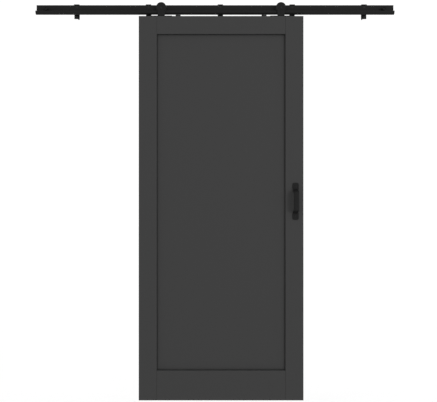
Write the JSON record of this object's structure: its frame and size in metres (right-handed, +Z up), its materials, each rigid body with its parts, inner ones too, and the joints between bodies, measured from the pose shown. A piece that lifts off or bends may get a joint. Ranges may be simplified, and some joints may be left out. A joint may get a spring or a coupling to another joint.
{
  "type": "sliding barn door set",
  "caption": "Wall-hung J-section barn door track with spaced brackets, end stops, strap hangers on wheels, a one-panel door leaf and a bent pull handle.",
  "frame": {"origin": "on the wall's face, at the centre of the middle wall bracket's width, 22 mm above the rail's underside", "axes": "+X along the rail, towards the pull handle's side; +Y into the wall; +Z up"},
  "size_m": [2, 0.1453, 2.2122],
  "materials": {
    "black_steel": "matte black powder coat",
    "black_zinc": "satin black",
    "bright_steel": "ground",
    "rubber": "matte",
    "nylon": "turned",
    "door_paint": "dark grey satin paint"
  },
  "bodies": {
    "track": {"rail": "black_steel", "wall_bracket_1": "black_steel", "wall_bracket_2": "black_steel", "wall_bracket_3": "black_steel", "wall_bracket_4": "black_steel", "wall_bracket_5": "black_steel", "lag_screw_1": "black_zinc", "lag_screw_2": "black_zinc", "lag_screw_3": "black_zinc", "lag_screw_4": "black_zinc", "lag_screw_5": "black_zinc", "rail_bolt_1": "black_zinc", "rail_bolt_2": "black_zinc", "rail_bolt_3": "black_zinc", "rail_bolt_4": "black_zinc", "rail_bolt_5": "black_zinc", "stop_bumper_left": "rubber", "stop_bolt_left": "black_zinc", "stop_nut_left": "black_zinc", "stop_bumper_right": "rubber", "stop_bolt_right": "black_zinc", "stop_nut_right": "black_zinc"},
    "door": {"stile_left": "door_paint", "stile_right": "door_paint", "door_top_rail": "door_paint", "door_bottom_rail": "door_paint", "door_panel": "door_paint", "hanger_strap_left": "black_steel", "hanger_strap_right": "black_steel", "foot_screw_left_1": "black_zinc", "foot_screw_left_2": "black_zinc", "foot_screw_left_3": "black_zinc", "foot_screw_left_4": "black_zinc", "foot_screw_right_1": "black_zinc", "foot_screw_right_2": "black_zinc", "foot_screw_right_3": "black_zinc", "foot_screw_right_4": "black_zinc", "axle_bolt_left": "black_zinc", "axle_spacer_left": "bright_steel", "axle_nut_left": "black_zinc", "bearing_inner_ring_left": "bright_steel", "axle_bolt_right": "black_zinc", "axle_spacer_right": "bright_steel", "axle_nut_right": "black_zinc", "bearing_inner_ring_right": "bright_steel", "anti_jump_disc_left": "nylon", "anti_jump_screw_left": "black_zinc", "anti_jump_disc_right": "nylon", "anti_jump_screw_right": "black_zinc", "pull_handle": "black_steel", "handle_screw_top": "black_zinc", "handle_screw_bottom": "black_zinc"},
    "wheel_left": {"wheel_left": "nylon", "bearing_outer_ring_left": "bright_steel", "bearing_cage_left": "bright_steel"},
    "wheel_right": {"wheel_right": "nylon", "bearing_outer_ring_right": "bright_steel", "bearing_cage_right": "bright_steel"}
  },
  "joints": [
    {"name": "door_slide", "type": "slide", "parent": "track", "child": "door", "axis": [1, 0, 0], "range_m": [-0.6048, 0.5368]},
    {"name": "wheel_left_spin", "type": "hinge", "parent": "door", "child": "wheel_left", "pos_m": [-0.329, -0.0255, 0.01], "axis": [0, 1, 0], "continuous": true},
    {"name": "wheel_right_spin", "type": "hinge", "parent": "door", "child": "wheel_right", "pos_m": [0.337, -0.0255, 0.01], "axis": [0, 1, 0], "continuous": true}
  ],
  "couplings": [
    {"joint": "wheel_left_spin", "follows": "door_slide", "rad_per_m": 35.461},
    {"joint": "wheel_right_spin", "follows": "door_slide", "rad_per_m": 35.461}
  ]
}
